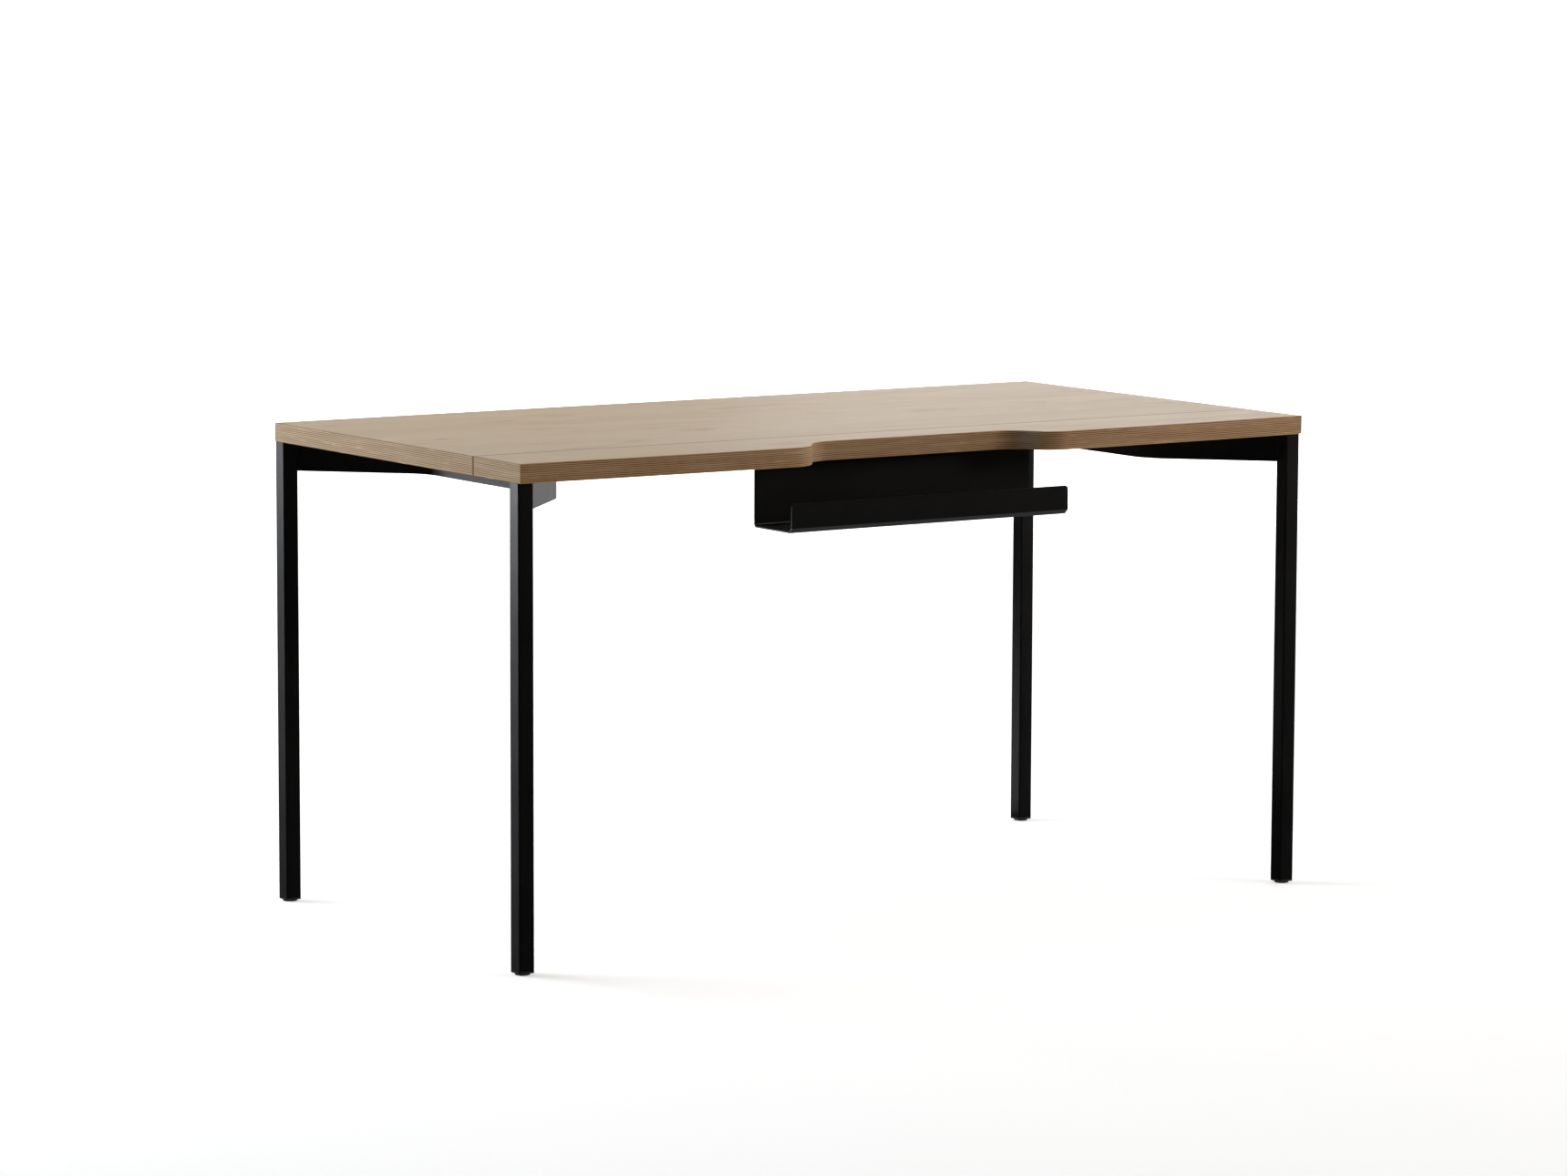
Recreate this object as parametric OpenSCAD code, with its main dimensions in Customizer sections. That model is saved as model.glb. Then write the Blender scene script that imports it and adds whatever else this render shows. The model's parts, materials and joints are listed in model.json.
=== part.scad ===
// Writing desk on a welded steel frame: a two-piece plywood top with a cut-out at the user's
// side, bent flat-bar side beams, square tube legs with levelling glides, and a folded
// sheet-metal tray hung under the cut-out.
// Origin: middle of the footprint at floor level. +X right, -Y the user's side, +Z up.

/* [Top] */
// Width of the top
desk_w = 1400; // [1200:10:1600]
// Depth of the top, from the mouth of the cut-out to the rear edge
desk_d = 730; // [680:10:800]
// Height of the worktop above the floor
desk_h = 730; // [700:5:760]
// Thickness of the plywood
top_t = 28; // [24:1:32]
// Depth of the separate front board
front_board_d = 140; // [130:1:160]
// How far the front corners sit back from the mouth of the cut-out
corner_recede = 10; // [4:1:14]

/* [Cut-out] */
// Width of the cut-out at the front edge
mouth_w = 486; // [440:2:520]
// Width of the straight inner edge of the cut-out
inner_w = 296; // [260:2:320]
// Depth of the cut-out
cutout_d = 58; // [50:1:64]

/* [Frame] */
// Outside width of the square leg tube
leg_w = 25; // [22:1:30]
// Wall of the leg tube
leg_wall = 2; // [1.5:0.5:3]
// Gap between the front corner of the top and the front legs
leg_front_inset = 5; // [2:1:10]
// Depth of the side beams
beam_h = 44; // [38:1:50]
// Thickness of the side beams
beam_t = 5; // [4:1:6]
// Distance from the side of the top to the middle of a beam's straight run
beam_inset = 168; // [140:2:190]
// Radius of the beam's bends, to the middle of the bar
beam_bend_r = 75; // [50:5:90]

/* [Tray] */
// Width of the tray
tray_w = 496; // [440:2:520]
// Distance from the front edge to the rear face of the tray
tray_back_y = 102; // [96:1:110]
// Drop from the underside of the top to the bottom of the tray
tray_drop = 97; // [80:1:110]
// Height of the tray's front lip
lip_h = 43; // [30:1:50]
// Thickness of the tray's sheet
sheet_t = 2; // [1.5:0.5:3]

/* [Glides] */
// Diameter of the glide's pad
pad_dia = 22; // [18:1:24]
// Thickness of the glide's pad
pad_t = 3; // [2:0.5:5]

/* [Hidden] */
$fn = 48;

// Colours
ply_colour = "burlywood";
steel_colour = "#18191c";
zinc_colour = "lightgray";
brass_colour = "goldenrod";
dowel_colour = "peru";
plastic_colour = "#2b2b2d";

// Heights
underside_z = desk_h - top_t;
seam_y = front_board_d - desk_d / 2;
front_y = -desk_d / 2;
past = 1;

// Curves of the front edge: each end of the cut-out is two equal tangent arcs,
// and each wing is one wide arc from the mouth to the corner.
mouth_x = mouth_w / 2;
inner_x = inner_w / 2;
sweep_x = mouth_x - inner_x;
sweep_angle = 2 * atan(cutout_d / sweep_x);
sweep_r = sweep_x / (2 * sin(sweep_angle));
wing_len = desk_w / 2 - mouth_x;
wing_r = (wing_len * wing_len + corner_recede * corner_recede) / (2 * corner_recede);
sweep_fn = 180;
wing_fn = 2880;

// Legs
tube_r = 2;
bore_w = leg_w - 2 * leg_wall;
bore_r = 1;
flange_t = 2.5;
leg_bottom_z = pad_t + flange_t;
leg_x = desk_w / 2 - leg_w / 2;
leg_front_y = front_y + corner_recede + leg_front_inset + leg_w / 2;
leg_rear_inset = 1;
leg_rear_y = desk_d / 2 - leg_rear_inset - leg_w / 2;

// Glides: M8 stud in a plastic insert
insert_h = 26;
insert_bore_r = 4.05;
stud_r = 4;
stud_h = 34;
collar_r = 6.5;
collar_t = 1.2;
collar_gap = 0.3;

// Joint between the two boards
board_clearance = 0.05;
dowel_r = 4;
dowel_len = 40;
dowel_x = [-670, -560, -470, -320, -150, 150, 320, 470, 560, 670];
connector_x = [-620, -400, 400, 620];
connector_reach = 32;
pocket_r = 17.5;
pocket_h = 19;
slot_w = 8.5;
bolt_r = 3;
bolt_z = underside_z + 10;
bolt_tail = 2;
bolt_head_t = 4;
nut_af = 10;
nut_t = 5;
washer_r = 14.5;
washer_h = 15;
washer_t = 5;
washer_hole_r = 3.2;
washer_z = underside_z + 2;

// Frame screws: M6 button heads into threaded inserts
insert_r = 5;
wood_insert_h = 13;
screw_r = 3;
screw_len = 14;
screw_head_r = 5.25;
screw_head_h = 3.3;
screw_hole_r = 3.3;
hex_key_af = 4;
hex_key_depth = 2;
tab_w = 34;
tab_len = 30;
tab_t = 4;
tab_offset = 16;
plate_t = 3;

// Tray
flange_d = 24;
lip_inset = 2;
bend_r = 4;
chamfer = 7;
lip_corner_r = 6;
tray_screw_x = [-210, -70, 70, 210];
tray_screw_r = 2;
tray_hole_r = 2.5;
tray_screw_len = 18;
tray_screw_head_r = 4.2;
tray_screw_head_h = 2.6;
tray_key_af = 2.5;
tray_key_depth = 1.5;
tray_screw_y = front_y + tray_back_y + flange_d / 2;

// Side beams: where the tabs sit along the straight run, and the turn of each bend
tab_y = [-110, 20, 145];
beam_turn = 45;
bend_steps = 16;

// A square with round corners, centred
module round_square(w, r) {
    square([w - 2 * r, w], center = true);
    square([w, w - 2 * r], center = true);
    for (x = [-1, 1], y = [-1, 1])
        translate([x * (w / 2 - r), y * (w / 2 - r)])
            circle(r);
}

// A regular hexagon across flats, as a solid
module hex_prism(af, h) {
    cylinder(r = af / sqrt(3), h = h, $fn = 6);
}

// ---- Boards ----

// The space under one end of the cut-out's outline, on the left
module sweep_void() {
    mid_x = -mouth_x + sweep_r * sin(sweep_angle);
    mid_y = sweep_r * (1 - cos(sweep_angle));
    difference() {
        union() {
            polygon([
                [-mouth_x, -past],
                [-mouth_x, 0],
                [mid_x, mid_y],
                [-inner_x, cutout_d],
                [past - inner_x, cutout_d],
                [past - inner_x, -past]
            ]);
            intersection() {
                translate([-inner_x, cutout_d - sweep_r])
                    circle(sweep_r, $fn = sweep_fn);
                translate([mid_x, mid_y])
                    square([-inner_x - mid_x, cutout_d - mid_y]);
            }
        }
        translate([-mouth_x, sweep_r])
            circle(sweep_r, $fn = sweep_fn);
    }
}

// What the wide arc takes off the left wing
module wing_void() {
    difference() {
        translate([-desk_w / 2 - past, -past])
            square([wing_len + past, corner_recede + 2 * past]);
        translate([-mouth_x, wing_r])
            circle(wing_r, $fn = wing_fn);
    }
}

module front_outline() {
    difference() {
        translate([-desk_w / 2, 0])
            square([desk_w, front_board_d]);
        for (side = [0, 1])
            mirror([side, 0]) {
                sweep_void();
                wing_void();
            }
        translate([-inner_x, -past])
            square([inner_w, cutout_d + past]);
    }
}

// Holes for the dowels, in the seam face
module dowel_holes() {
    for (x = dowel_x)
        translate([x, seam_y, underside_z + top_t / 2])
            rotate([90, 0, 0])
                cylinder(r = dowel_r + board_clearance, h = dowel_len + past, center = true);
}

// Round pockets and the slot that joins them, cut up from the underside
module connector_pockets() {
    for (x = connector_x)
        translate([x, seam_y, underside_z - past]) {
            for (side = [-1, 1])
                translate([0, side * (connector_reach + pocket_r / 2), 0])
                    cylinder(r = pocket_r, h = pocket_h + past);
            translate([-slot_w / 2, -connector_reach, 0])
                cube([slot_w, 2 * connector_reach, pocket_h + past]);
        }
}

// Holes for the threaded inserts and the tray's wood screws
module underside_holes() {
    for (side = [-1, 1])
        fixing_places(side)
            translate([0, 0, -past])
                cylinder(r = insert_r + board_clearance, h = wood_insert_h + past);
    for (x = tray_screw_x)
        translate([x, tray_screw_y, underside_z - past])
            cylinder(r = tray_screw_r + board_clearance, h = tray_screw_len + past);
}

module main_board() {
    color(ply_colour)
        difference() {
            translate([-desk_w / 2, seam_y, underside_z])
                cube([desk_w, desk_d - front_board_d, top_t]);
            dowel_holes();
            connector_pockets();
            underside_holes();
        }
}

module front_board() {
    color(ply_colour)
        difference() {
            translate([0, front_y, underside_z])
                linear_extrude(top_t)
                    front_outline();
            dowel_holes();
            connector_pockets();
            underside_holes();
        }
}

module board_dowels() {
    color(dowel_colour)
        for (x = dowel_x)
            translate([x, seam_y, underside_z + top_t / 2])
                rotate([90, 0, 0])
                    cylinder(r = dowel_r, h = dowel_len, center = true);
}

// ---- Panel connectors: a bolt across the seam, pulling on two half-moon washers ----

module half_moon() {
    intersection() {
        cylinder(r = washer_r, h = washer_h);
        translate([-washer_r, 0, 0])
            cube([2 * washer_r, washer_t, washer_h]);
    }
}

module connector_bolts() {
    bearing_y = connector_reach + washer_t;
    shank = 2 * bearing_y + nut_t + bolt_tail;
    color(zinc_colour)
        for (x = connector_x)
            translate([x, seam_y, bolt_z])
                rotate([90, 0, 0]) {
                    translate([0, 0, bearing_y - shank])
                        cylinder(r = bolt_r, h = shank);
                    translate([0, 0, bearing_y])
                        hex_prism(nut_af, bolt_head_t);
                }
}

module connector_washers() {
    color(zinc_colour)
        for (x = connector_x, side = [0, 1])
            translate([x, seam_y, washer_z])
                mirror([0, side, 0])
                    difference() {
                        translate([0, connector_reach, 0])
                            half_moon();
                        translate([0, connector_reach - past, bolt_z - washer_z])
                            rotate([-90, 0, 0])
                                cylinder(r = washer_hole_r, h = washer_t + 2 * past);
                    }
}

module connector_nuts() {
    color(zinc_colour)
        for (x = connector_x)
            translate([x, seam_y + connector_reach + washer_t, bolt_z])
                rotate([-90, 0, 0])
                    difference() {
                        hex_prism(nut_af, nut_t);
                        translate([0, 0, -past])
                            cylinder(r = bolt_r + board_clearance, h = nut_t + 2 * past);
                    }
}

// ---- Side beams ----

// Half of one face of a beam, for the right side, from the bend to a leg's centre.
// The straight run ends in an eighth-turn bend, and a diagonal goes out to the leg.
// inward is how far the face lies from the middle of the bar, towards the inside of the desk.
function half_face(leg_y, inward) =
    let (
        run_x = desk_w / 2 - beam_inset,
        bend_y = leg_y - (leg_x - run_x) - beam_bend_r * tan(beam_turn / 2),
        r = beam_bend_r + inward
    )
    concat(
        [for (step = [0:bend_steps])
            let (turn = beam_turn * step / bend_steps)
            [run_x + beam_bend_r - r * cos(turn), bend_y + r * sin(turn)]],
        [[leg_x - inward * sin(beam_turn), leg_y + inward * cos(beam_turn)]]
    );

function reversed(points) = [for (i = [len(points) - 1:-1:0]) points[i]];

function flipped(points) = [for (p = points) [p[0], -p[1]]];

// One whole face of a beam, from the front leg to the rear leg
function beam_face(inward) = concat(
    reversed(flipped(half_face(-leg_front_y, inward))),
    half_face(leg_rear_y, inward)
);

module side_beam(side) {
    color(steel_colour)
        mirror([side < 0 ? 1 : 0, 0, 0])
            translate([0, 0, underside_z - beam_h])
                linear_extrude(beam_h)
                    difference() {
                        polygon(concat(
                            beam_face(beam_t / 2),
                            reversed(beam_face(-beam_t / 2))
                        ));
                        for (y = [leg_front_y, leg_rear_y])
                            translate([leg_x, y])
                                round_square(leg_w, tube_r);
                    }
}

module side_beam_left() { side_beam(-1); }
module side_beam_right() { side_beam(1); }

// ---- Fixings between frame and top ----

// Puts its children at each fixing place of one side, at the height of the underside
module fixing_places(side) {
    run_x = side * (desk_w / 2 - beam_inset);
    for (y = tab_y)
        translate([run_x - side * tab_offset, y, underside_z])
            children();
    diagonal_places(side)
        translate([tab_offset, 0, 0])
            children();
}

// The middle of each diagonal of a beam, with +X turned towards the inside of the desk
module diagonal_places(side) {
    out = beam_inset - leg_w / 2;
    mid = out / 2;
    mid_x = side * (desk_w / 2 - leg_w / 2 - mid);
    translate([mid_x, leg_front_y + mid, underside_z])
        rotate(side > 0 ? 180 + beam_turn : -beam_turn)
            children();
    translate([mid_x, leg_rear_y - mid, underside_z])
        rotate(side > 0 ? 180 - beam_turn : beam_turn)
            children();
}

// A flat tab with one hole, its welded edge at X = 0
module fixing_tab() {
    hole_x = tab_offset - beam_t / 2;
    translate([0, 0, -tab_t])
        difference() {
            translate([0, -tab_w / 2, 0])
                cube([tab_len, tab_w, tab_t]);
            translate([hole_x, 0, -past])
                cylinder(r = screw_hole_r, h = tab_t + 2 * past);
        }
}

module fixing_tabs(side) {
    run_x = side * (desk_w / 2 - beam_inset);
    color(steel_colour) {
        for (y = tab_y)
            translate([run_x - side * beam_t / 2, y, underside_z])
                rotate(side > 0 ? 180 : 0)
                    fixing_tab();
        diagonal_places(side)
            translate([beam_t / 2, 0, 0])
                fixing_tab();
    }
}

module fixing_tabs_left() { fixing_tabs(-1); }
module fixing_tabs_right() { fixing_tabs(1); }

module frame_screws(side) {
    color(zinc_colour)
        fixing_places(side)
            translate([0, 0, -tab_t])
                difference() {
                    union() {
                        cylinder(r = screw_r, h = screw_len);
                        translate([0, 0, -screw_head_h])
                            cylinder(r = screw_head_r, h = screw_head_h);
                    }
                    translate([0, 0, -screw_head_h - past])
                        hex_prism(hex_key_af, hex_key_depth + past);
                }
}

module frame_screws_left() { frame_screws(-1); }
module frame_screws_right() { frame_screws(1); }

module board_inserts() {
    color(brass_colour)
        for (side = [-1, 1])
            fixing_places(side)
                difference() {
                    cylinder(r = insert_r, h = wood_insert_h);
                    translate([0, 0, -past])
                        cylinder(r = screw_r + board_clearance, h = wood_insert_h + 2 * past);
                }
}

// ---- Legs ----

module at_leg(side, row) {
    translate([side * leg_x, row < 0 ? leg_front_y : leg_rear_y, 0])
        children();
}

module leg(side, row) {
    color(steel_colour)
        at_leg(side, row)
            translate([0, 0, leg_bottom_z])
                linear_extrude(underside_z - leg_bottom_z)
                    difference() {
                        round_square(leg_w, tube_r);
                        round_square(bore_w, bore_r);
                    }
}

// Plate welded inside the top end of a leg tube
module top_plate(side, row) {
    color(steel_colour)
        at_leg(side, row)
            translate([0, 0, underside_z - plate_t])
                linear_extrude(plate_t)
                    round_square(bore_w, bore_r);
}

// Plastic insert pressed into the bottom end of a leg tube
module foot_insert(side, row) {
    color(plastic_colour)
        at_leg(side, row)
            translate([0, 0, pad_t])
                difference() {
                    union() {
                        linear_extrude(flange_t)
                            round_square(leg_w, tube_r);
                        linear_extrude(flange_t + insert_h)
                            round_square(bore_w, bore_r);
                    }
                    translate([0, 0, -past])
                        cylinder(r = insert_bore_r, h = flange_t + insert_h + 2 * past);
                    translate([0, 0, -past])
                        cylinder(r = collar_r + collar_gap, h = collar_t + collar_gap + past);
                }
}

// Threaded stud of a glide, with the collar that its pad is moulded on
module glide_stud(side, row) {
    color(zinc_colour)
        at_leg(side, row)
            translate([0, 0, pad_t]) {
                cylinder(r = stud_r, h = stud_h);
                cylinder(r = collar_r, h = collar_t);
            }
}

module glide_pad(side, row) {
    color(plastic_colour)
        at_leg(side, row)
            cylinder(r = pad_dia / 2, h = pad_t);
}

module leg_front_left() { leg(-1, -1); }
module leg_front_right() { leg(1, -1); }
module leg_rear_left() { leg(-1, 1); }
module leg_rear_right() { leg(1, 1); }
module top_plate_front_left() { top_plate(-1, -1); }
module top_plate_front_right() { top_plate(1, -1); }
module top_plate_rear_left() { top_plate(-1, 1); }
module top_plate_rear_right() { top_plate(1, 1); }
module foot_insert_front_left() { foot_insert(-1, -1); }
module foot_insert_front_right() { foot_insert(1, -1); }
module foot_insert_rear_left() { foot_insert(-1, 1); }
module foot_insert_rear_right() { foot_insert(1, 1); }
module glide_stud_front_left() { glide_stud(-1, -1); }
module glide_stud_front_right() { glide_stud(1, -1); }
module glide_stud_rear_left() { glide_stud(-1, 1); }
module glide_stud_rear_right() { glide_stud(1, 1); }
module glide_pad_front_left() { glide_pad(-1, -1); }
module glide_pad_front_right() { glide_pad(1, -1); }
module glide_pad_rear_left() { glide_pad(-1, 1); }
module glide_pad_rear_right() { glide_pad(1, 1); }

// ---- Tray ----

// One bend of the sheet: an arc of the sheet's thickness about its centre
module sheet_bend(centre, from, to, inner_r) {
    reach = 2 * (inner_r + sheet_t);
    translate(centre)
        intersection() {
            difference() {
                circle(inner_r + sheet_t);
                circle(inner_r);
            }
            polygon([
                [0, 0],
                [reach * cos(from), reach * sin(from)],
                [reach * cos((from + to) / 2), reach * sin((from + to) / 2)],
                [reach * cos(to), reach * sin(to)]
            ]);
        }
}

// Section of the tray, seen from the left: across is the distance from the front edge,
// up is the height below the underside of the top
module tray_section() {
    outer_r = bend_r + sheet_t;
    back = tray_back_y;
    floor_front = lip_inset + chamfer;
    lip_back = lip_inset + sheet_t;
    // Flange against the underside
    translate([back - sheet_t + outer_r, -sheet_t])
        square([flange_d - outer_r + sheet_t, sheet_t]);
    sheet_bend([back - sheet_t + outer_r, -outer_r], 90, 180, bend_r);
    // Back plate
    translate([back - sheet_t, outer_r - tray_drop])
        square([sheet_t, tray_drop - 2 * outer_r]);
    sheet_bend([back - outer_r, outer_r - tray_drop], 270, 360, bend_r);
    // Floor
    translate([floor_front, -tray_drop])
        square([back - outer_r - floor_front, sheet_t]);
    // Slanted strip and lip
    polygon([
        [floor_front, -tray_drop],
        [floor_front, sheet_t - tray_drop],
        [lip_back, chamfer + sheet_t - tray_drop],
        [lip_back, lip_h - tray_drop],
        [lip_inset, lip_h - tray_drop],
        [lip_inset, chamfer - tray_drop]
    ]);
}

module tray() {
    color(steel_colour)
        difference() {
            translate([-tray_w / 2, front_y, underside_z])
                rotate([90, 0, 90])
                    linear_extrude(tray_w)
                        tray_section();
            for (side = [-1, 1])
                translate([side * (tray_w / 2 - lip_corner_r), front_y, 0])
                    lip_corner_cut(side);
            for (x = tray_screw_x)
                translate([x, tray_screw_y, underside_z - sheet_t - past])
                    cylinder(r = tray_hole_r, h = sheet_t + 2 * past);
        }
}

// What rounds one top corner of the lip
module lip_corner_cut(side) {
    size = lip_corner_r + past;
    depth = lip_inset + sheet_t + past;
    translate([0, 0, underside_z - tray_drop + lip_h - lip_corner_r])
        rotate([-90, 0, 0])
            difference() {
                translate([side > 0 ? 0 : -size, -size, 0])
                    cube([size, size, depth]);
                translate([0, 0, -past])
                    cylinder(r = lip_corner_r, h = depth + 2 * past);
            }
}

module tray_screws() {
    color(zinc_colour)
        for (x = tray_screw_x)
            translate([x, tray_screw_y, underside_z - sheet_t])
                difference() {
                    union() {
                        cylinder(r = tray_screw_r, h = tray_screw_len);
                        translate([0, 0, -tray_screw_head_h])
                            cylinder(r = tray_screw_head_r, h = tray_screw_head_h);
                    }
                    translate([0, 0, -tray_screw_head_h - past])
                        hex_prism(tray_key_af, tray_key_depth + past);
                }
}

main_board();
front_board();
board_dowels();
connector_bolts();
connector_washers();
connector_nuts();
board_inserts();
side_beam_left();
side_beam_right();
fixing_tabs_left();
fixing_tabs_right();
leg_front_left();
leg_front_right();
leg_rear_left();
leg_rear_right();
top_plate_front_left();
top_plate_front_right();
top_plate_rear_left();
top_plate_rear_right();
frame_screws_left();
frame_screws_right();
tray();
tray_screws();
foot_insert_front_left();
foot_insert_front_right();
foot_insert_rear_left();
foot_insert_rear_right();
glide_stud_front_left();
glide_stud_front_right();
glide_stud_rear_left();
glide_stud_rear_right();
glide_pad_front_left();
glide_pad_front_right();
glide_pad_rear_left();
glide_pad_rear_right();
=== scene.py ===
"""Looks for the plywood desk: softened edges, welds, threads, procedural materials and the studio."""
import json
import math

import bmesh
import bpy
from mathutils import Matrix, Vector


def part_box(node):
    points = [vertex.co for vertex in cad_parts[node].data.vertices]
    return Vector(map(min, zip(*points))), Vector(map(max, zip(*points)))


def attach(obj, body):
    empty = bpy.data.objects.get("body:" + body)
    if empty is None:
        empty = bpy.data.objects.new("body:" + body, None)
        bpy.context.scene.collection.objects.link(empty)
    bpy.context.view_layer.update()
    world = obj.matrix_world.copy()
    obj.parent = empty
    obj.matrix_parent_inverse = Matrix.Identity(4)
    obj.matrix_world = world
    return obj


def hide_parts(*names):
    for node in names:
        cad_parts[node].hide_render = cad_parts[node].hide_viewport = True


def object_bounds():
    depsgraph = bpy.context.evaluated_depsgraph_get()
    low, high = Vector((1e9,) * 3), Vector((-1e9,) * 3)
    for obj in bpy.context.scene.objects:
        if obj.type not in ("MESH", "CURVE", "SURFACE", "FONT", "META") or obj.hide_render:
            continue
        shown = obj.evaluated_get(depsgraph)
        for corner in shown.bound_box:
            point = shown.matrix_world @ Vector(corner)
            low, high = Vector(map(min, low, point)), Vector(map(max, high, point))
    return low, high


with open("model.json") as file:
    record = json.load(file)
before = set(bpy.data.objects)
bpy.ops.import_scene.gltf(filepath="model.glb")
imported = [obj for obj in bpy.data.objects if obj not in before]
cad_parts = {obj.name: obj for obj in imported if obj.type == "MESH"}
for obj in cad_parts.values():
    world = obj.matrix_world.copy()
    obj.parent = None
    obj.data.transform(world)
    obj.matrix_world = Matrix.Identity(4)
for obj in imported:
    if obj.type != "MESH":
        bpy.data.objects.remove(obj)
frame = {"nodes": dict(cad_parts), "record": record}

cad_low, cad_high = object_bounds()
nodes = frame["nodes"]
scene = bpy.context.scene
ROOT = "desk"
CORNERS = [("front", "left"), ("front", "right"), ("rear", "left"), ("rear", "right")]
MM = 0.001


# ---------------------------------------------------------------- node materials

class Shader:
    """A node material under construction. Each method adds one node and returns its output."""

    def __init__(self, name):
        self.material = bpy.data.materials.new(name)
        self.material.use_nodes = True
        self.tree = self.material.node_tree
        self.tree.nodes.clear()
        self.out = self.tree.nodes.new("ShaderNodeOutputMaterial")
        self.bsdf = self.tree.nodes.new("ShaderNodeBsdfPrincipled")
        self.tree.links.new(self.bsdf.outputs[0], self.out.inputs["Surface"])
        self.place = self.tree.nodes.new("ShaderNodeTexCoord").outputs["Object"]

    def put(self, socket, value):
        if isinstance(value, bpy.types.NodeSocket):
            self.tree.links.new(value, socket)
        else:
            socket.default_value = value

    def node(self, kind, values, **settings):
        made = self.tree.nodes.new("ShaderNode" + kind)
        for key, setting in settings.items():
            setattr(made, key, setting)
        for key, value in values.items():
            self.put(made.inputs[key], value)
        return made

    def math(self, operation, a, b=0.0, clamp=False):
        made = self.node("Math", {0: a, 1: b}, operation=operation, use_clamp=clamp)
        return made.outputs[0]

    def smooth(self, value, low, high):
        """0 below low, 1 above high, and a smooth step between."""
        made = self.node("MapRange", {"Value": value, "From Min": low, "From Max": high},
                         interpolation_type="SMOOTHSTEP")
        return made.outputs["Result"]

    def axis(self, vector, name):
        return self.node("SeparateXYZ", {0: vector}).outputs[name]

    def stretched(self, vector, scale, offset=(0, 0, 0)):
        made = self.node("Mapping", {"Vector": vector, "Scale": scale, "Location": offset})
        return made.outputs[0]

    def noise(self, vector, scale, detail=3.0, roughness=0.5, distortion=0.0):
        made = self.node("TexNoise", {"Vector": vector, "Scale": scale, "Detail": detail,
                                      "Roughness": roughness, "Distortion": distortion})
        return made.outputs["Fac"]

    def mix(self, share, a, b):
        made = self.node("Mix", {0: share, 6: a, 7: b}, data_type="RGBA")
        return made.outputs[2]

    def mix_values(self, share, a, b):
        made = self.node("Mix", {0: share, 2: a, 3: b}, data_type="FLOAT")
        return made.outputs[0]

    def bump(self, height, strength, distance):
        made = self.node("Bump", {"Height": height, "Strength": strength, "Distance": distance})
        return made.outputs["Normal"]

    def finish(self, color, roughness, normal=None, **constants):
        self.put(self.bsdf.inputs["Base Color"], color)
        self.put(self.bsdf.inputs["Roughness"], roughness)
        if normal is not None:
            self.put(self.bsdf.inputs["Normal"], normal)
        for key, value in constants.items():
            self.bsdf.inputs[key.replace("_", " ")].default_value = value
        return self.material


def rgb(red, green, blue):
    return (red, green, blue, 1.0)


# Veneer
VENEER_PALE = rgb(0.60, 0.450, 0.275)
VENEER_WARM = rgb(0.55, 0.390, 0.222)
VENEER_FLAME = rgb(0.45, 0.225, 0.090)
VENEER_EYE = rgb(0.25, 0.120, 0.045)
# Ply edges: long grain is pale and end grain is dark. The END colours are these plies on the board's
# ends, cooler and less saturated: painted cool window light and sheen
PLY_PALE = rgb(0.52, 0.290, 0.130)
PLY_DARK = rgb(0.150, 0.072, 0.028)
END_PALE_PAINTED_COOL_LIGHT = rgb(0.44, 0.325, 0.208)
END_DARK_PAINTED_COOL_LIGHT = rgb(0.170, 0.110, 0.064)
# Wood darkened along the sanded edges and the seam: partly darker ply where the veneer is sanded
# through, partly painted shade of the eased edges and the seam's groove
ARRIS_SANDED_AND_PAINTED_SHADE = rgb(0.09, 0.048, 0.022)
PLY_COUNT = 21
SEAM_WIDTH = 3.6 * MM
# Strongest share of each mark in the colour under it
FLAME_SHARE = 0.55
FIBRE_SHARE = 0.16
EYE_SHARE = 0.60
PORE_SHARE = 0.30
TONE_SHARE = 0.22
ARRIS_SANDED_AND_PAINTED_SHADE_SHARE = 0.85
# How far the grain wanders sideways, in metres, and the plies up and down, in plies
GRAIN_DRIFT = 0.06
PLY_WOBBLE = 0.16
FACE_ROUGHNESS = 0.40
FIBRE_ROUGHNESS = 0.16
EDGE_ROUGHNESS = 0.58
GRAIN_RELIEF = 0.2 * MM


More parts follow.
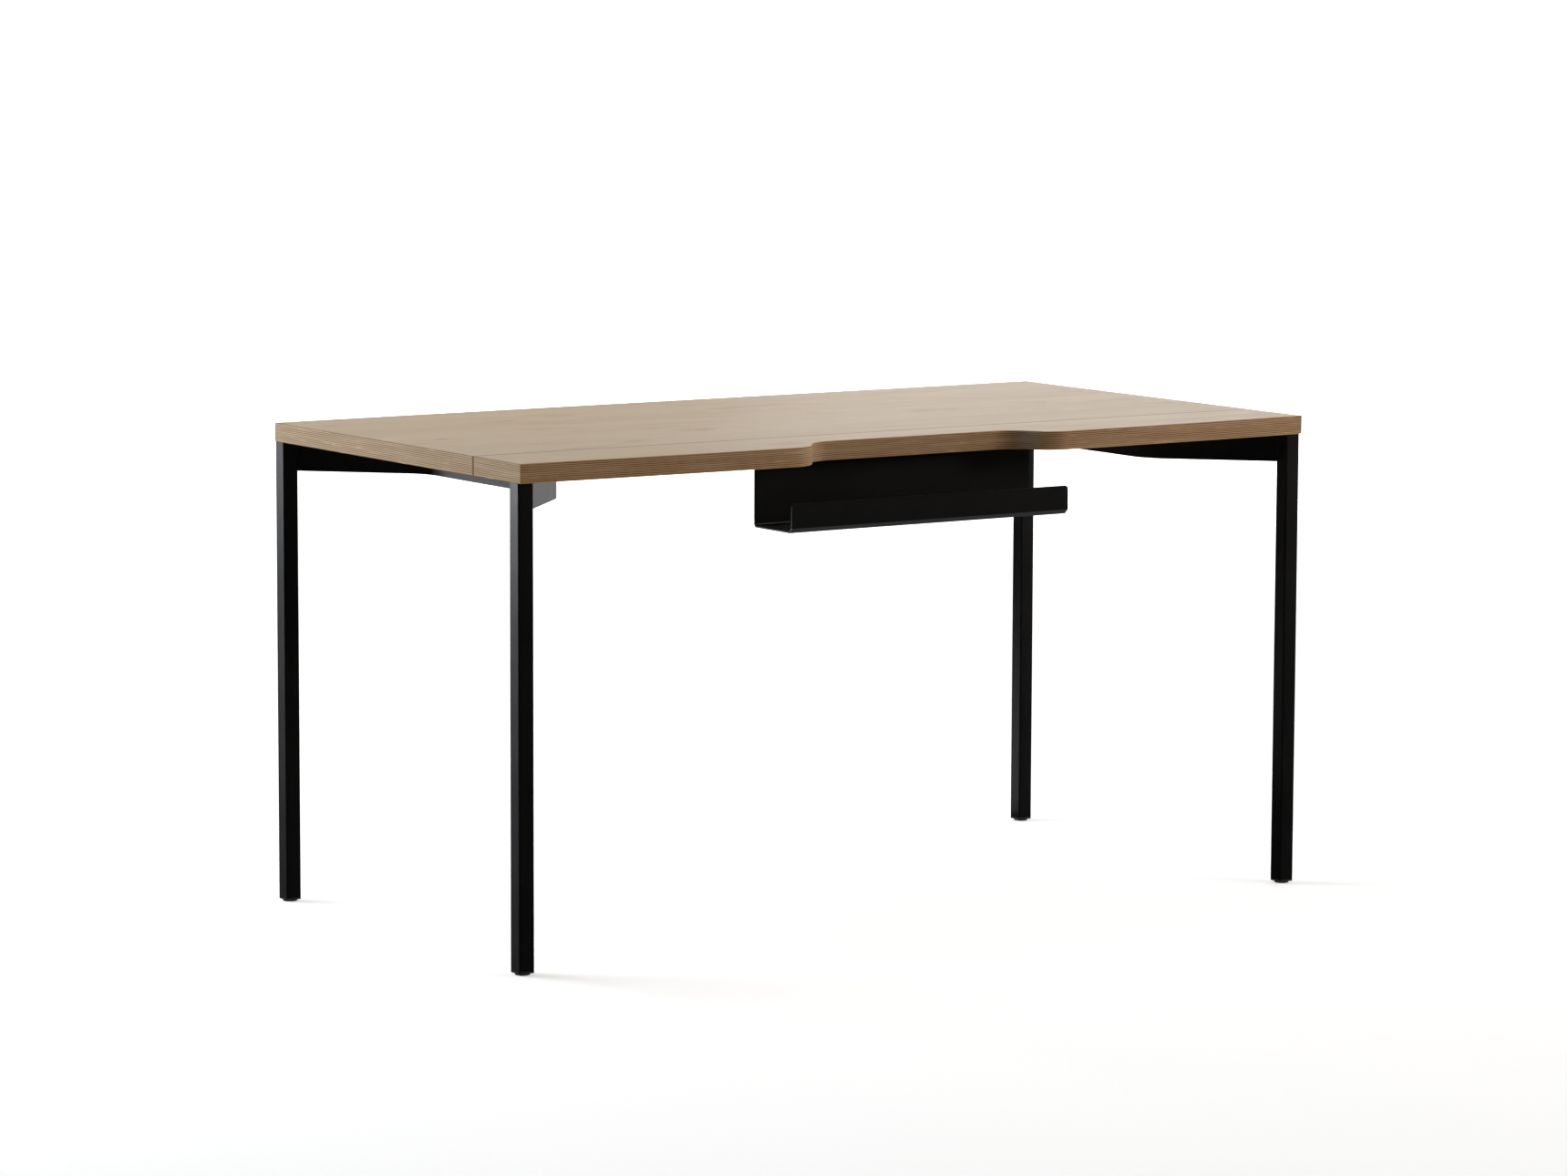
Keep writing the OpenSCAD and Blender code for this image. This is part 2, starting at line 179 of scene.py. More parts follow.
def veneer_color(s, shift):
    """The face veneer: grain along X, with faint bands, short flame marks and a few small eyes."""
    place = s.stretched(s.place, (1, 1, 1), (shift, shift, 0))
    wave = s.noise(s.stretched(place, (1.2, 5.0, 1.0)), 1.6, 2.0)
    bent = s.node("VectorMath", {0: place}, operation="ADD")
    drift = s.node("CombineXYZ", {"Y": s.math("MULTIPLY", s.math("SUBTRACT", wave, 0.5), GRAIN_DRIFT)})
    s.put(bent.inputs[1], drift.outputs[0])
    grain_place = bent.outputs[0]
    bands = s.noise(s.stretched(grain_place, (0.7, 7.0, 1.0)), 1.5, 4.0, 0.6)
    color = s.mix(s.smooth(bands, 0.32, 0.70), VENEER_PALE, VENEER_WARM)
    flames = s.noise(s.stretched(grain_place, (5.5, 17.0, 1.0)), 1.3, 4.0, 0.60, 0.6)
    flame_zone = s.noise(s.stretched(grain_place, (2.6, 4.0, 1.0), (4, 7, 0)), 1.5, 1.0)
    flame_share = s.math("MULTIPLY", s.smooth(flames, 0.48, 0.72), s.smooth(flame_zone, 0.40, 0.62))
    color = s.mix(s.math("MULTIPLY", flame_share, FLAME_SHARE), color, VENEER_FLAME)
    fibre = s.noise(s.stretched(grain_place, (14.0, 520.0, 1.0)), 1.0, 3.0, 0.65)
    fibre_share = s.math("MULTIPLY", s.smooth(fibre, 0.42, 0.85), FIBRE_SHARE)
    color = s.mix(fibre_share, color, VENEER_EYE)
    eyes = s.node("TexVoronoi", {"Vector": s.stretched(place, (2.9, 5.5, 0.0)), "Scale": 1.0,
                                 "Randomness": 1.0}).outputs["Distance"]
    eye_share = s.math("SUBTRACT", 1.0, s.smooth(eyes, 0.010, 0.060), clamp=True)
    color = s.mix(s.math("MULTIPLY", eye_share, EYE_SHARE), color, VENEER_EYE)
    return color, fibre


def ply_color(s, thickness_place, along_x):
    """The board's edge: glued plies whose grain runs by turns along X and along Y."""
    wobble = s.noise(s.stretched(s.place, (2.5, 2.5, 30.0)), 1.5, 2.0)
    level = s.math("ADD", s.math("MULTIPLY", thickness_place, PLY_COUNT),
                   s.math("MULTIPLY", s.math("SUBTRACT", wobble, 0.5), PLY_WOBBLE))
    # A triangle wave: 0 in the middle of each long-grain ply of the front edge, 1 in end grain
    saw = s.math("PINGPONG", s.math("SUBTRACT", level, 0.5), 1.0)
    front_dark = s.smooth(saw, 0.42, 0.60)
    dark = s.mix_values(along_x, front_dark, s.math("SUBTRACT", 1.0, front_dark))
    streaks = s.noise(s.stretched(s.place, (24.0, 24.0, 420.0)), 1.0, 2.0, 0.6)
    dark = s.math("MULTIPLY", dark, s.smooth(streaks, 0.20, 0.46))
    pores = s.noise(s.stretched(s.place, (240.0, 240.0, 900.0)), 1.0, 2.0, 0.7)
    # On the board's ends the plies take the END colours, whose cooler, paler tone is painted window
    # light and sheen
    color = s.mix(dark, s.mix(along_x, PLY_PALE, END_PALE_PAINTED_COOL_LIGHT), s.mix(along_x, PLY_DARK, END_DARK_PAINTED_COOL_LIGHT))
    color = s.mix(s.math("MULTIPLY", s.smooth(pores, 0.50, 0.80), PORE_SHARE), color, END_DARK_PAINTED_COOL_LIGHT)
    tone = s.noise(s.stretched(s.place, (7.0, 7.0, 160.0)), 1.0, 2.0)
    color = s.mix(s.math("MULTIPLY", s.smooth(tone, 0.40, 0.75), TONE_SHARE), color, VENEER_PALE)
    return color, dark


def sanded_and_shaded_arris_share(s, low, high, facing_up, seam_y, end_width):
    """1 on the darkened edges of a board: along both ends of its faces, and along the seam. This
    darkening is partly sanded-through ply and partly painted shade of the eased edges and the seam's
    groove.
    """
    x = s.axis(s.place, "X")
    half = (high.x - low.x) / 2
    from_end = s.math("SUBTRACT", half, s.math("ABSOLUTE", s.math("SUBTRACT", x, (low.x + high.x) / 2)))
    from_seam = s.math("ABSOLUTE", s.math("SUBTRACT", s.axis(s.place, "Y"), seam_y))
    near_end = s.math("SUBTRACT", 1.0, s.smooth(from_end, 0.3 * end_width, end_width), clamp=True)
    at_end = s.math("MULTIPLY", near_end, facing_up)
    at_seam = s.math("SUBTRACT", 1.0, s.smooth(from_seam, 0.4 * SEAM_WIDTH, SEAM_WIDTH), clamp=True)
    return s.math("MAXIMUM", at_end, at_seam)


def plywood(name, board, shift, end_width):
    """Birch plywood: veneer on the faces, plies on the edges and darker wood along the arrises, which is
    partly painted shade of the eased edges and the seam's groove.
    """
    low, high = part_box(board)
    seam_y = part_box("main_board")[0].y
    s = Shader(name)
    normal = s.node("NewGeometry", {}).outputs["Normal"]
    facing_up = s.smooth(s.math("ABSOLUTE", s.axis(normal, "Z")), 0.55, 0.75)
    end_face = s.smooth(s.math("ABSOLUTE", s.axis(normal, "X")), 0.60, 0.80)
    thickness_place = s.math("DIVIDE", s.math("SUBTRACT", s.axis(s.place, "Z"), low.z), high.z - low.z)
    face, fibre = veneer_color(s, shift)
    edge, dark = ply_color(s, thickness_place, end_face)
    color = s.mix(facing_up, edge, face)
    sanded_and_shaded_arris = sanded_and_shaded_arris_share(s, low, high, facing_up, seam_y, end_width)
    # Painted shade: the arrises and the seam's groove are darkened in the colour itself, together with
    # the sanded-through ply
    color = s.mix(s.math("MULTIPLY", sanded_and_shaded_arris, ARRIS_SANDED_AND_PAINTED_SHADE_SHARE), color, ARRIS_SANDED_AND_PAINTED_SHADE)
    face_roughness = s.math("ADD", FACE_ROUGHNESS, s.math("MULTIPLY", fibre, FIBRE_ROUGHNESS))
    roughness = s.mix_values(facing_up, EDGE_ROUGHNESS, face_roughness)
    height = s.mix_values(facing_up, s.math("SUBTRACT", 1.0, dark), fibre)
    return s.finish(color, roughness, s.bump(height, 0.35, GRAIN_RELIEF), Specular_IOR_Level=0.38)


def powder_coat():
    """Fine satin black powder coat: an even stipple with faint cloudy variation."""
    s = Shader("black_powder_coat")
    cloud = s.noise(s.place, 9.0, 3.0)
    stipple = s.noise(s.place, 1500.0, 2.0, 0.6)
    color = s.mix(cloud, rgb(0.0018, 0.0016, 0.0019), rgb(0.0040, 0.0038, 0.0044))
    roughness = s.math("ADD", 0.28, s.math("MULTIPLY", cloud, 0.08))
    return s.finish(color, roughness, s.bump(stipple, 0.12, 0.1 * MM), Specular_IOR_Level=0.28)


def metal(name, pale, deep, rough):
    """Plated metal with a faint drawn grain and small stains."""
    s = Shader(name)
    stain = s.noise(s.place, 260.0, 3.0)
    drawn = s.noise(s.stretched(s.place, (900.0, 900.0, 120.0)), 1.0, 2.0)
    color = s.mix(s.smooth(stain, 0.35, 0.75), pale, deep)
    roughness = s.math("ADD", rough, s.math("MULTIPLY", drawn, 0.18))
    return s.finish(color, roughness, s.bump(drawn, 0.2, 0.05 * MM), Metallic=1.0)


def moulded_plastic():
    """Black nylon with a fine grain and paler scuffs."""
    s = Shader("black_nylon")
    grain = s.noise(s.place, 2600.0, 2.0, 0.6)
    scuff = s.noise(s.place, 180.0, 4.0, 0.6)
    color = s.mix(s.smooth(scuff, 0.45, 0.80), rgb(0.016, 0.016, 0.017), rgb(0.055, 0.054, 0.052))
    roughness = s.math("ADD", 0.48, s.math("MULTIPLY", scuff, 0.2))
    return s.finish(color, roughness, s.bump(grain, 0.25, 0.1 * MM), Specular_IOR_Level=0.4)


def raw_beech():
    """Bare beech with darker flecks along Y."""
    s = Shader("raw_beech")
    fleck = s.noise(s.stretched(s.place, (300.0, 60.0, 300.0)), 1.0, 3.0, 0.6)
    color = s.mix(s.smooth(fleck, 0.35, 0.75), rgb(0.55, 0.36, 0.21), rgb(0.38, 0.21, 0.11))
    return s.finish(color, 0.65, s.bump(fleck, 0.3, 0.2 * MM))


COAT = powder_coat()
ZINC = metal("bright_zinc", rgb(0.62, 0.63, 0.65), rgb(0.45, 0.46, 0.48), 0.24)
BRASS = metal("yellow_zinc", rgb(0.66, 0.50, 0.24), rgb(0.48, 0.37, 0.20), 0.28)
NYLON = moulded_plastic()
BY_SLOT = {"black_steel": COAT, "zinc": ZINC, "brass": BRASS, "black_plastic": NYLON,
           "dowel_wood": raw_beech()}
# The shift cuts each board's veneer from another part of the pattern
MAIN_SHIFT = 0.0
FRONT_SHIFT = 3.7
BOARDS = {"main_board": plywood("plywood_main", "main_board", MAIN_SHIFT, 1.8 * MM),
          "front_board": plywood("plywood_front", "front_board", FRONT_SHIFT, 0.8 * MM)}


# ---------------------------------------------------------------- CAD nodes: materials and soft edges

MERGE_DISTANCE = 0.01 * MM
SHARP_ANGLE = 32
# Width of the soft edges
BOARD_EDGE = 0.9 * MM
BEAM_EDGE = 0.6 * MM
SHEET_EDGE = 0.4 * MM
TUBE_EDGE = 0.3 * MM


def dress(node, material):
    mesh = nodes[node].data
    mesh.materials.clear()
    mesh.materials.append(material)


def soften(node, width):
    """Rounds a CAD node's sharp edges, as sanding, powder coat or a mould leaves them."""
    obj = nodes[node]
    weld = obj.modifiers.new("join_faces", "WELD")
    weld.merge_threshold = MERGE_DISTANCE
    bevel = obj.modifiers.new("soft_edges", "BEVEL")
    bevel.width = width
    bevel.segments = 2
    bevel.limit_method = "ANGLE"
    bevel.angle_limit = math.radians(SHARP_ANGLE)
    bevel.harden_normals = False
    bevel.use_clamp_overlap = True
    shading = obj.modifiers.new("even_shading", "WEIGHTED_NORMAL")
    shading.keep_sharp = False


slots = {part["node"]: part["material_slot"] for part in frame["record"]["subparts"]}
for node_name, slot in slots.items():
    dress(node_name, BOARDS.get(node_name) or BY_SLOT[slot])


# ---------------------------------------------------------------- meshes of our own

# Vertices this close together are one vertex
SAME_POINT = 0.001 * MM

# Screws: head height, key width across flats, key depth, and the shank's share of the head's radius
FRAME_SCREW = (3.3 * MM, 4.0 * MM, 2.0 * MM, 3 / 5.25)
TRAY_SCREW = (2.6 * MM, 2.5 * MM, 1.5 * MM, 2 / 4.2)
# Button head: (share of the head's radius, share of its height), from its lowest point upwards
DOME = [(0.58, 0.0), (0.80, 0.09), (0.93, 0.27), (1.0, 0.58), (1.0, 0.92), (0.96, 1.0)]
KEY_CHAMFER = 0.15 * MM
SCREW_TIP = 0.6 * MM
SCREW_TIP_SHARE = 0.8
SCREW_SIDES = 24

# Glide stud, M8 with a plain collar. The cut thread stops at the run-out, before the tapered tip.
CREST = 4.0 * MM
THREAD_DEPTH = 0.65 * MM
PITCH = 1.25 * MM
RINGS_PER_PITCH = 8
COLLAR_THICKNESS = 1.2 * MM
COLLAR_CHAMFER = 0.2 * MM
STUD_TIP = 1.0 * MM
THREAD_RUN_OUT = 1.5 * MM
STUD_SIDES = 32

# Glide pad: (share of the radius, share of the thickness), from the middle of the underside outwards
PAD_PROFILE = [(0.30, 0.10), (0.34, 0.0), (0.90, 0.0), (0.965, 0.09), (1.0, 0.28), (1.0, 0.72),
               (0.965, 0.92), (0.90, 1.0), (0.68, 1.0), (0.655, 0.93), (0.625, 0.93), (0.60, 1.0)]
PAD_SIDES = 48

# Weld beads, and the steel that they run along
BEAD_R = 1.7 * MM
BEAD_STEP = 0.55 * MM
BEAD_RIPPLE = 2.2 * MM
BEAD_SIDES = 10
BEAM_THICKNESS = 5.0 * MM
TAB_LENGTH = 30.0 * MM
TAB_WIDTH = 34.0 * MM
# Half of a tab's bead, as a share of the tab's width
TAB_BEAD_REACH = 0.42


def hexagon(across_flats):
    """Radius of a hexagon as a function of the angle."""
    def radius(angle):
        return across_flats / 2 / math.cos(angle % (math.pi / 3) - math.pi / 6)
    return radius


def turn(mesh, rings, sides, place=(0, 0, 0)):
    """Adds a closed solid about a vertical axis. Each ring is (radius, height), lowest cap first."""
    loops = []
    for radius, height in rings:
        loop = []
        for step in range(sides):
            angle = 2 * math.pi * step / sides
            reach = radius(angle) if callable(radius) else radius
            spot = Vector((reach * math.cos(angle), reach * math.sin(angle), height))
            loop.append(mesh.verts.new(spot + Vector(place)))
        loops.append(loop)
    for below, above in zip(loops, loops[1:]):
        for i in range(sides):
            j = (i + 1) % sides
            mesh.faces.new((below[i], below[j], above[j], above[i]))
    mesh.faces.new(loops[0][::-1])
    mesh.faces.new(loops[-1])


def piece(name, mesh, material, body, sharp_angle=35):
    """Turns a finished bmesh into an object that rides on a body."""
    bmesh.ops.recalc_face_normals(mesh, faces=mesh.faces)
    for face in mesh.faces:
        face.smooth = True
    for edge in mesh.edges:
        if len(edge.link_faces) == 2 and edge.calc_face_angle() > math.radians(sharp_angle):
            edge.smooth = False
    data = bpy.data.meshes.new(name)
    mesh.to_mesh(data)
    mesh.free()
    data.materials.append(material)
    obj = bpy.data.objects.new(name, data)
    scene.collection.objects.link(obj)
    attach(obj, body)
    return obj


def solids_of(node):
    """(lowest corner, highest corner) of each separate solid of a CAD node."""
    mesh = bmesh.new()
    mesh.from_mesh(nodes[node].data)
    mesh.transform(nodes[node].matrix_world)
    bmesh.ops.remove_doubles(mesh, verts=mesh.verts, dist=SAME_POINT)
    left = set(mesh.verts)
    boxes = []
    while left:
        found = {left.pop()}
        to_visit = list(found)
        while to_visit:
            vert = to_visit.pop()
            for edge in vert.link_edges:
                other = edge.other_vert(vert)
                if other in left:
                    left.remove(other)
                    found.add(other)
                    to_visit.append(other)
        spots = [vert.co for vert in found]
        low = Vector([min(spot[i] for spot in spots) for i in range(3)])
        high = Vector([max(spot[i] for spot in spots) for i in range(3)])
        boxes.append((low, high))
    mesh.free()
    return sorted(boxes, key=lambda box: (round(box[0].x, 4), round(box[0].y, 4)))


def button_screws(node, head_height, key_width, key_depth, shank_share):
    """Every screw of a CAD node, pointing up, with a domed head and a hexagon socket."""
    mesh = bmesh.new()
    for low, high in solids_of(node):
        middle = (low + high) / 2
        head_r = (high.x - low.x) / 2
        shank_r = head_r * shank_share
        rings = [(hexagon(key_width), key_depth), (hexagon(key_width), KEY_CHAMFER)]
        rings += [(head_r * out, head_height * up) for out, up in DOME]
        length = high.z - low.z
        rings += [(shank_r, head_height), (shank_r, length - SCREW_TIP)]
        rings.append((SCREW_TIP_SHARE * shank_r, length))
        turn(mesh, rings, SCREW_SIDES, (middle.x, middle.y, low.z))
    obj = piece(node + "_domed", mesh, ZINC, ROOT)
    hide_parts(node)


def thread_radius(height):
    """Radius of the stud's right-hand thread at one height, as a function of the angle."""
    def radius(angle):
        phase = (height / PITCH - angle / (2 * math.pi)) % 1.0
        ridge = 1.0 - abs(2.0 * phase - 1.0)
        return CREST - THREAD_DEPTH + THREAD_DEPTH * min(1.0, max(0.0, 1.5 * ridge - 0.25))
    return radius


def glide_stud(corner):
    """An M8 stud: a chamfered collar on the pad, then a cut thread with a tapered tip."""
    node = "glide_stud_" + corner
    low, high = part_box(node)
    middle = (low + high) / 2
    collar_r = (high.x - low.x) / 2
    length = high.z - low.z
    root_r = CREST - THREAD_DEPTH
    rings = [(0.93 * collar_r, 0.0), (collar_r, COLLAR_CHAMFER),
             (collar_r, COLLAR_THICKNESS - COLLAR_CHAMFER), (0.94 * collar_r, COLLAR_THICKNESS),
             (root_r, COLLAR_THICKNESS)]
    threaded = length - COLLAR_THICKNESS - THREAD_RUN_OUT
    steps = int(threaded / PITCH * RINGS_PER_PITCH)
    for step in range(1, steps + 1):
        height = COLLAR_THICKNESS + threaded * step / steps
        rings.append((thread_radius(height), height))
    rings += [(root_r, length - STUD_TIP), (CREST - 1.4 * THREAD_DEPTH, length)]
    mesh = bmesh.new()
    turn(mesh, rings, STUD_SIDES, (middle.x, middle.y, low.z))
    obj = piece(node + "_threaded", mesh, ZINC, "glide_" + corner, sharp_angle=60)
    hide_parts(node)


def glide_pad(corner):
    """A moulded pad: rounded foot, a shallow dimple below, and a ring groove about the collar."""
    node = "glide_pad_" + corner
    low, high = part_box(node)
    middle = (low + high) / 2
    radius = (high.x - low.x) / 2
    thickness = high.z - low.z
    mesh = bmesh.new()
    rings = [(radius * out, thickness * up) for out, up in PAD_PROFILE]
    turn(mesh, rings, PAD_SIDES, (middle.x, middle.y, low.z))
    obj = piece(node + "_moulded", mesh, NYLON, "glide_" + corner)
    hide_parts(node)


def weld_bead(mesh, start, end):
    """A rippled weld bead between two points, with rounded ends."""
    start, end = Vector(start), Vector(end)
    along = (end - start).normalized()
    across = along.orthogonal().normalized()
    third = along.cross(across)
    length = (end - start).length
    steps = int(length / BEAD_STEP)
    loops = []
    for step in range(steps + 1):
        place = length * step / steps
        from_end = min(place, length - place)
        swell = min(1.0, 0.35 + from_end / (1.4 * BEAD_R))
        ripple = 0.84 + 0.16 * abs(math.sin(math.pi * place / BEAD_RIPPLE))
        radius = BEAD_R * swell * ripple
        loop = []
        for side in range(BEAD_SIDES):
            angle = 2 * math.pi * side / BEAD_SIDES
            away = math.cos(angle) * across + math.sin(angle) * third
            loop.append(mesh.verts.new(start + along * place + radius * away))
        loops.append(loop)
    for one, two in zip(loops, loops[1:]):
        for i in range(BEAD_SIDES):
            j = (i + 1) % BEAD_SIDES
            mesh.faces.new((one[i], one[j], two[j], two[i]))
    mesh.faces.new(loops[0][::-1])
    mesh.faces.new(loops[-1])


def frame_welds(side):
    """Beads where a side beam meets its two legs, and under the edge of each fixing tab."""
    mesh = bmesh.new()
    out = -1 if side == "left" else 1
    beam_low, beam_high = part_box("side_beam_" + side)
    for row, back in (("front", -1), ("rear", 1)):
        leg_low, leg_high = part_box("leg_" + row + "_" + side)
        middle = (leg_low + leg_high) / 2
        half = (leg_high.x - leg_low.x) / 2
        near = half - BEAM_THICKNESS / math.sqrt(2)
        for dx, dy in ((half, near), (near, half)):
            x, y = middle.x - out * dx, middle.y - back * dy
            weld_bead(mesh, (x, y, beam_low.z + BEAD_R), (x, y, beam_high.z - BEAD_R))
    for low, high in solids_of("fixing_tabs_" + side):
        middle = (low + high) / 2
        diagonal = high.x - low.x > 1.2 * TAB_LENGTH
        back = 1 if middle.y > 0 else -1
        towards = Vector((out, back, 0)).normalized() if diagonal else Vector((out, 0, 0))
        edge = Vector((middle.x, middle.y, low.z)) + towards * TAB_LENGTH / 2
        reach = Vector((-towards.y, towards.x, 0)) * TAB_BEAD_REACH * TAB_WIDTH
        weld_bead(mesh, edge - reach, edge + reach)
    piece("frame_welds_" + side, mesh, COAT, ROOT, sharp_angle=80)


# ---------------------------------------------------------------- studio

# The photograph's viewpoint: a long lens from the front left, a little above the top
CAMERA_PLACE = (-4.596, -6.883, 1.508)
CAMERA_HEADING = -33.617
CAMERA_TILT = -7.141
CAMERA_ROLL = 0.206
CAMERA_LENS = 125.3
CAMERA_SENSOR = 36.0

# The backdrop, as seen from the camera: right, behind the desk and up are positive
FLOOR_NEAR = -12.0
FLOOR_FAR = 6.0
FLOOR_HALF_WIDTH = 14.0
SWEEP_RADIUS = 3.0
SWEEP_STEPS = 12
WALL_TOP = 9.0
# Nearer than this, or further left, the backdrop isn't seen in reflections
MIRROR_NEAR = 0.7
MIRROR_LEFT = -1.2
WALL_MIRROR_LEFT = -4.0
# The paper's own glow: at the desk, and what is added by the wall
GLOW = 0.12
GLOW_BY_WALL = 0.56
# What the camera sees on top of it: at the desk, and what is added far away
LIFT = 0.38
LIFT_FAR = 0.55
# The room's own glow: level and above, and straight down
ROOM_GLOW = 0.02
ROOM_GLOW_BELOW = 0.465
# Each light: place, size, power and colour. All of them face the middle of the desk.
LIGHTS = {
    "window_rear_left": ((-3.35, 3.3, 1.5), (0.5, 1.9), 320, (0.93, 0.96, 1.0)),
    "softbox_rear_left": ((-3.1, 3.3, 1.5), (2.6, 1.9), 240, (0.93, 0.96, 1.0)),
    "softbox_high_left": ((-3.4, 1.4, 3.2), (2.0, 2.0), 16, (0.84, 0.92, 1.0)),
    "overhead": ((0.6, 0.8, 3.8), (4.0, 3.0), 34, (1.0, 0.99, 0.97)),
    "panel_rear_right": ((4.7, 5.3, 1.1), (2.2, 1.8), 40, (1.0, 0.99, 0.97)),
    "fill_front_right": ((3.6, -3.6, 2.4), (1.8, 1.8), 76, (1.0, 0.94, 0.86)),
    "fill_right": ((5.0, -1.6, 1.2), (2.4, 1.6), 58, (1.0, 0.94, 0.86)),
}
# Steel that the window doesn't reach
FAR_STEEL = ["leg_front_right", "leg_rear_right", "side_beam_right"]


def area_light(name, place, target, size, power, color):
    light = bpy.data.lights.new(name, "AREA")
    light.shape = "RECTANGLE"
    light.size, light.size_y = size
    light.energy = power
    light.color = color
    obj = bpy.data.objects.new(name, light)
    scene.collection.objects.link(obj)
    obj.location = place
    obj.rotation_euler = (Vector(target) - Vector(place)).to_track_quat("-Z", "Y").to_euler()
    obj.visible_camera = False


def pale_paper():
    """Backdrop paper. It glows more towards the wall, and more to the camera than to the desk."""
    s = Shader("pale_paper")
    fibres = s.noise(s.place, 3.0, 3.0)
    color = s.mix(fibres, rgb(0.80, 0.80, 0.80), rgb(0.83, 0.83, 0.83))
    by_wall = s.smooth(s.axis(s.place, "Y"), 1.5, 7.5)
    glow = s.math("ADD", GLOW, s.math("MULTIPLY", by_wall, GLOW_BY_WALL))
    seen = s.node("LightPath", {}).outputs["Is Camera Ray"]
    distance = s.node("VectorMath", {0: s.place}, operation="LENGTH").outputs["Value"]
    lift = s.math("ADD", LIFT, s.math("MULTIPLY", s.smooth(distance, 2.5, 6.5), LIFT_FAR))
    glow = s.math("ADD", glow, s.math("MULTIPLY", seen, lift))
    s.put(s.bsdf.inputs["Emission Strength"], glow)
    s.bsdf.inputs["Emission Color"].default_value = rgb(1.0, 1.0, 1.0)
    return s.finish(color, 0.9, Specular_IOR_Level=0.1)


def paper_strip(name, left, right, profile, material):
    """A strip of the backdrop along a profile of (distance behind the desk's middle, height)."""
    mesh = bmesh.new()
    rings = [[mesh.verts.new((x, y, z)) for x in (left, right)] for y, z in profile]
    for (a, b), (c, d) in zip(rings, rings[1:]):
        mesh.faces.new((a, b, d, c))
    data = bpy.data.meshes.new(name)
    mesh.to_mesh(data)
    mesh.free()
    for face in data.polygons:
        face.use_smooth = True
    data.materials.append(material)
    obj = bpy.data.objects.new(name, data)
    scene.collection.objects.link(obj)
    obj.rotation_euler = (0, 0, math.radians(CAMERA_HEADING))
    obj.location = (0, 0, cad_low.z)
    return obj


def backdrop():
    """Floor and wall in one sweep. Reflections show only the strips behind the desk and to its right."""
    paper = pale_paper()
    curve = []
    for step in range(SWEEP_STEPS + 1):
        angle = math.pi / 2 * step / SWEEP_STEPS
        behind = FLOOR_FAR + SWEEP_RADIUS * math.sin(angle)
        height = SWEEP_RADIUS * (1 - math.cos(angle))
        curve.append((behind, height))
    curve.append((FLOOR_FAR + SWEEP_RADIUS, WALL_TOP))
    front = [(FLOOR_NEAR, 0.0), (MIRROR_NEAR, 0.0)]
    rear = [(MIRROR_NEAR, 0.0), (FLOOR_FAR, 0.0)]
    paper_strip("floor_front", -FLOOR_HALF_WIDTH, FLOOR_HALF_WIDTH, front, paper).visible_glossy = False
    paper_strip("floor_rear_left", -FLOOR_HALF_WIDTH, MIRROR_LEFT, rear, paper).visible_glossy = False
    paper_strip("floor_rear_right", MIRROR_LEFT, FLOOR_HALF_WIDTH, rear, paper)
    paper_strip("wall_left", -FLOOR_HALF_WIDTH, WALL_MIRROR_LEFT, curve, paper).visible_glossy = False
    paper_strip("wall_right", WALL_MIRROR_LEFT, FLOOR_HALF_WIDTH, curve, paper)


def studio_world():
    """A dim room, white to the camera. Reflections that point down find it pale, like a floor."""
    world = bpy.data.worlds.new("studio")
    world.use_nodes = True
    tree = world.node_tree
    direction = tree.nodes.new("ShaderNodeTexCoord").outputs["Generated"]
    height = tree.nodes.new("ShaderNodeSeparateXYZ")
    tree.links.new(direction, height.inputs[0])
    below = tree.nodes.new("ShaderNodeMapRange")
    below.interpolation_type = "SMOOTHSTEP"
    below.inputs["From Min"].default_value = -0.35
    below.inputs["From Max"].default_value = -0.80
    below.inputs["To Min"].default_value = ROOM_GLOW
    below.inputs["To Max"].default_value = ROOM_GLOW_BELOW
    tree.links.new(height.outputs["Z"], below.inputs["Value"])
    seen = tree.nodes.new("ShaderNodeMath")
    seen.operation = "MAXIMUM"
    tree.links.new(tree.nodes.new("ShaderNodeLightPath").outputs["Is Camera Ray"], seen.inputs[0])
    tree.links.new(below.outputs["Result"], seen.inputs[1])
    background = tree.nodes["Background"]
    background.inputs["Color"].default_value = rgb(1.0, 1.0, 1.0)
    tree.links.new(seen.outputs[0], background.inputs["Strength"])
    scene.world = world


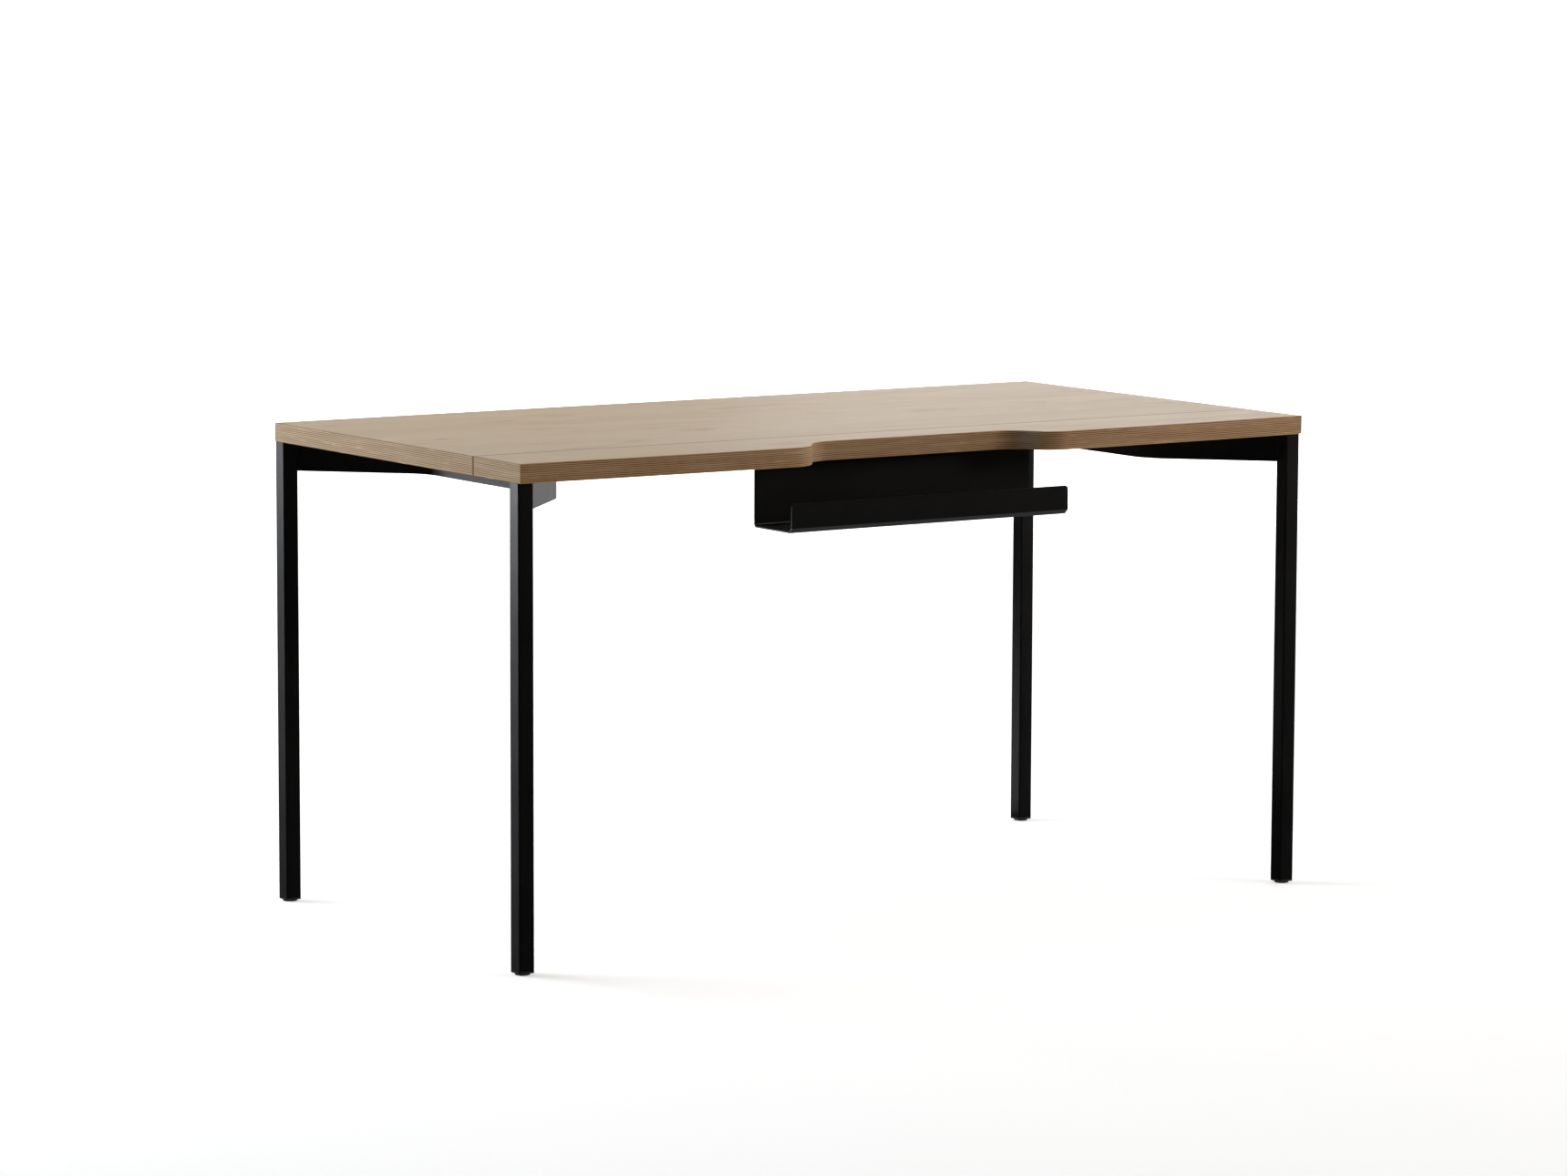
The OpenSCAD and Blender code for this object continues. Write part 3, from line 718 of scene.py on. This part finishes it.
def link_light(light_name, node_names, state):
    """Lets one light reach only these nodes (INCLUDE), or all but these (EXCLUDE)."""
    linked = bpy.data.collections.new(light_name + "_linked")
    for node_name in node_names:
        linked.objects.link(nodes[node_name])
    bpy.data.objects[light_name].light_linking.receiver_collection = linked
    for member in linked.collection_objects:
        member.light_linking.link_state = state


def studio():
    backdrop()
    studio_world()
    desk_middle = (cad_low + cad_high) / 2
    for name, (place, size, power, color) in LIGHTS.items():
        area_light(name, place, desk_middle, size, power, color)
    steel = [node_name for node_name, slot in slots.items() if slot == "black_steel"]
    near_steel = [node_name for node_name in steel if node_name not in FAR_STEEL]
    link_light("window_rear_left", near_steel, "INCLUDE")
    link_light("softbox_rear_left", steel, "EXCLUDE")
    link_light("panel_rear_right", ["side_beam_left"], "EXCLUDE")
    # Its mirror image would bleach the top in low views from the front right
    bpy.data.objects["softbox_rear_left"].visible_glossy = False


def camera():
    data = bpy.data.cameras.new("camera")
    data.lens = CAMERA_LENS
    data.sensor_width = CAMERA_SENSOR
    obj = bpy.data.objects.new("camera", data)
    scene.collection.objects.link(obj)
    obj.matrix_world = (Matrix.Translation(CAMERA_PLACE)
                        @ Matrix.Rotation(math.radians(CAMERA_HEADING), 4, "Z")
                        @ Matrix.Rotation(math.radians(90 + CAMERA_TILT), 4, "X")
                        @ Matrix.Rotation(math.radians(CAMERA_ROLL), 4, "Z"))
    scene.camera = obj


camera()
studio()
scene.view_settings.view_transform = "Standard"

for board in BOARDS:
    soften(board, BOARD_EDGE)
soften("tray", SHEET_EDGE)
for side in ("left", "right"):
    soften("side_beam_" + side, BEAM_EDGE)
    soften("fixing_tabs_" + side, SHEET_EDGE)
    frame_welds(side)
    button_screws("frame_screws_" + side, *FRAME_SCREW)
button_screws("tray_screws", *TRAY_SCREW)
for row, side in CORNERS:
    corner = row + "_" + side
    soften("leg_" + corner, TUBE_EDGE)
    soften("foot_insert_" + corner, TUBE_EDGE)
    glide_stud(corner)
    glide_pad(corner)
